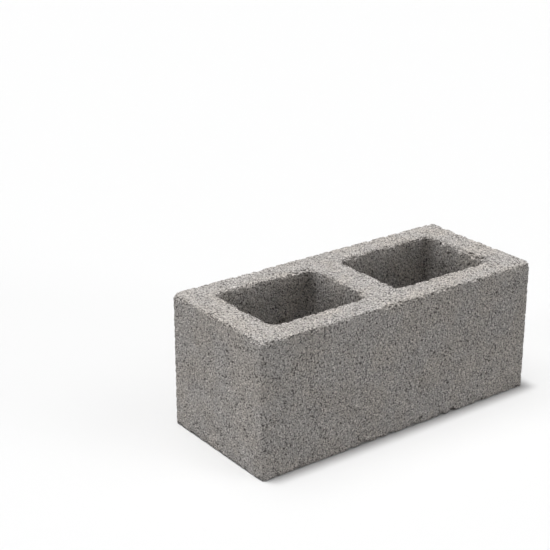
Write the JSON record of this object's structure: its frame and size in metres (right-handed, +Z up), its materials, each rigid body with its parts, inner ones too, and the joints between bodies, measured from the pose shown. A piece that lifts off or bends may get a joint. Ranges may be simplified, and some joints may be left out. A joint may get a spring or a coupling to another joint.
{
  "type": "concrete block",
  "caption": "Hollow concrete masonry block: an upright cuboid with open cores running straight through it from bed to bed, laid in mortar to build walls.",
  "frame": {"origin": "middle of the bottom bed", "axes": "+X along the block's length, +Y across its width, +Z up through its cores"},
  "size_m": [0.29, 0.127, 0.12],
  "materials": {
    "concrete": "rough"
  },
  "bodies": {
    "root": {"concrete_block": "concrete"}
  },
  "joints": []
}
